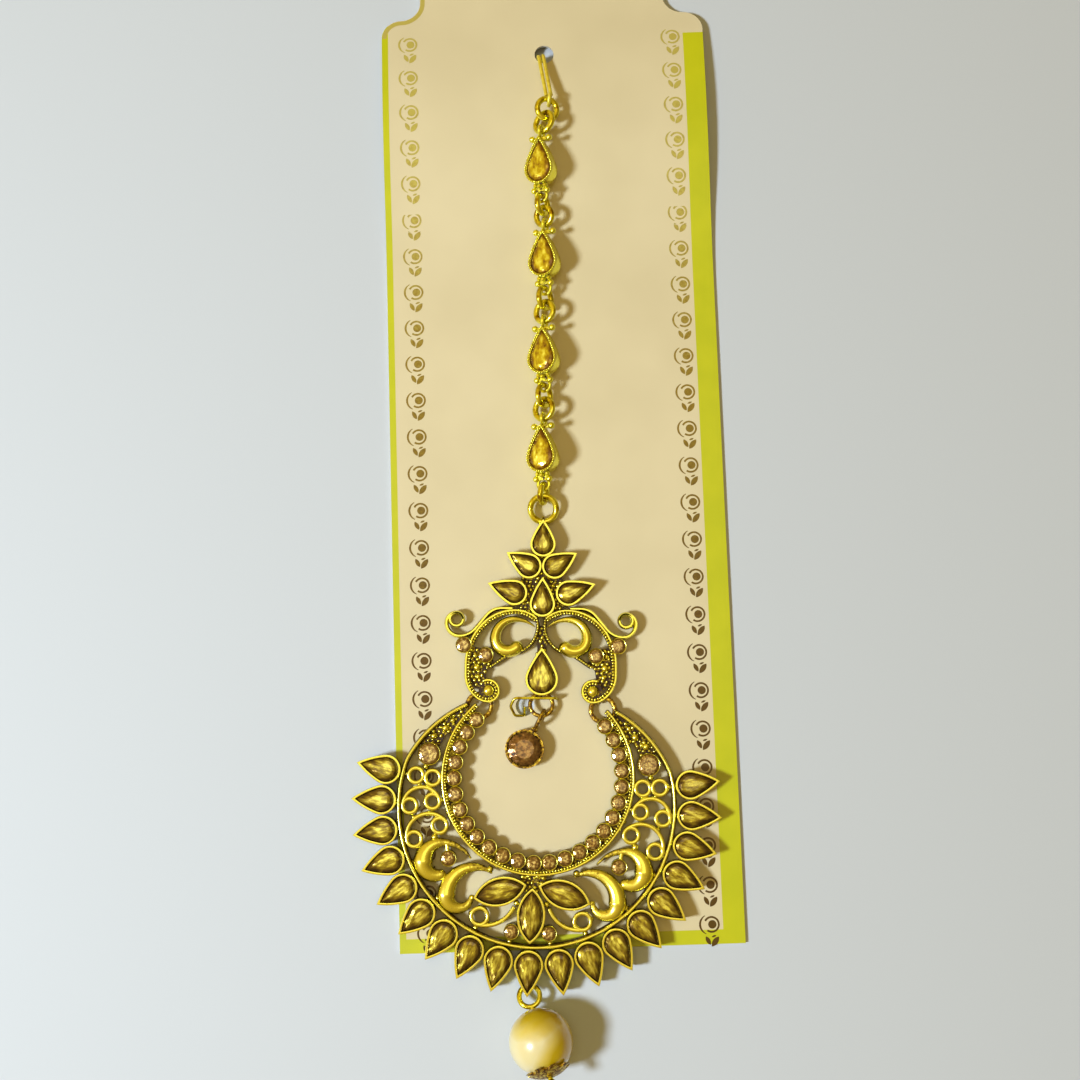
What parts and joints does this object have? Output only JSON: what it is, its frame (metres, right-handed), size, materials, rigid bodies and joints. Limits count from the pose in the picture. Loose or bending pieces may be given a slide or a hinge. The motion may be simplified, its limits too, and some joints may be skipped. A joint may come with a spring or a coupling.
{
  "type": "maang tikka on display card",
  "caption": "Forehead jewel with a chain, scrolled crown, stone-set crescent and hanging pearl, hooked on a printed display card.",
  "frame": {"origin": "centre of the card's flat back, which lies on the surface", "axes": "+Y along the card towards the header and the hair hook, +X across it to the right, +Z out of the printed face"},
  "size_m": [0.0602, 0.1852, 0.0098],
  "materials": {
    "card": "matt coated paper board",
    "dark_wire": "thin darkened wire",
    "chain_gold": "polished antique gold plate",
    "antique_gold": "antique gold plate, darkened in the recesses",
    "champagne_stone": "foil-backed cut stone",
    "rose_stone": "foil-backed small round stone",
    "brown_stone": "dark foil-backed cut stone",
    "pearl": "pearl lustre"
  },
  "bodies": {
    "root": {"card": "card", "card_tie": "dark_wire", "hair_hook": "chain_gold", "hook_rings": "chain_gold", "chain_link_1": "chain_gold", "link_stone_1": "champagne_stone", "chain_link_2": "chain_gold", "link_stone_2": "champagne_stone", "chain_link_3": "chain_gold", "link_stone_3": "champagne_stone", "chain_link_4": "chain_gold", "link_stone_4": "champagne_stone", "chain_rings_1": "chain_gold", "chain_rings_2": "chain_gold", "chain_rings_3": "chain_gold", "link_ring": "chain_gold", "pendant_ring": "antique_gold", "crown_frame": "antique_gold", "crown_stone_1": "champagne_stone", "crown_stone_2": "champagne_stone", "crown_stone_3": "champagne_stone", "crown_stone_4": "champagne_stone", "crown_stone_5": "champagne_stone", "crown_stone_6": "champagne_stone", "crown_stone_7": "champagne_stone", "crown_round_stones": "rose_stone", "side_ring_left": "antique_gold", "side_ring_right": "antique_gold", "drop_ring": "antique_gold", "drop_setting": "antique_gold", "drop_stone": "brown_stone", "crescent_frame": "antique_gold", "petal_stone_01": "champagne_stone", "petal_stone_02": "champagne_stone", "petal_stone_03": "champagne_stone", "petal_stone_04": "champagne_stone", "petal_stone_05": "champagne_stone", "petal_stone_06": "champagne_stone", "petal_stone_07": "champagne_stone", "petal_stone_08": "champagne_stone", "petal_stone_09": "champagne_stone", "petal_stone_10": "champagne_stone", "petal_stone_11": "champagne_stone", "petal_stone_12": "champagne_stone", "petal_stone_13": "champagne_stone", "petal_stone_14": "champagne_stone", "petal_stone_15": "champagne_stone", "petal_stone_16": "champagne_stone", "petal_stone_17": "champagne_stone", "petal_stone_18": "champagne_stone", "petal_stone_19": "champagne_stone", "lotus_stone_1": "champagne_stone", "lotus_stone_2": "champagne_stone", "lotus_stone_3": "champagne_stone", "rim_stones": "rose_stone", "crescent_round_stones": "rose_stone", "pearl": "pearl", "pearl_pin": "antique_gold", "pearl_cap": "antique_gold"}
  },
  "joints": []
}
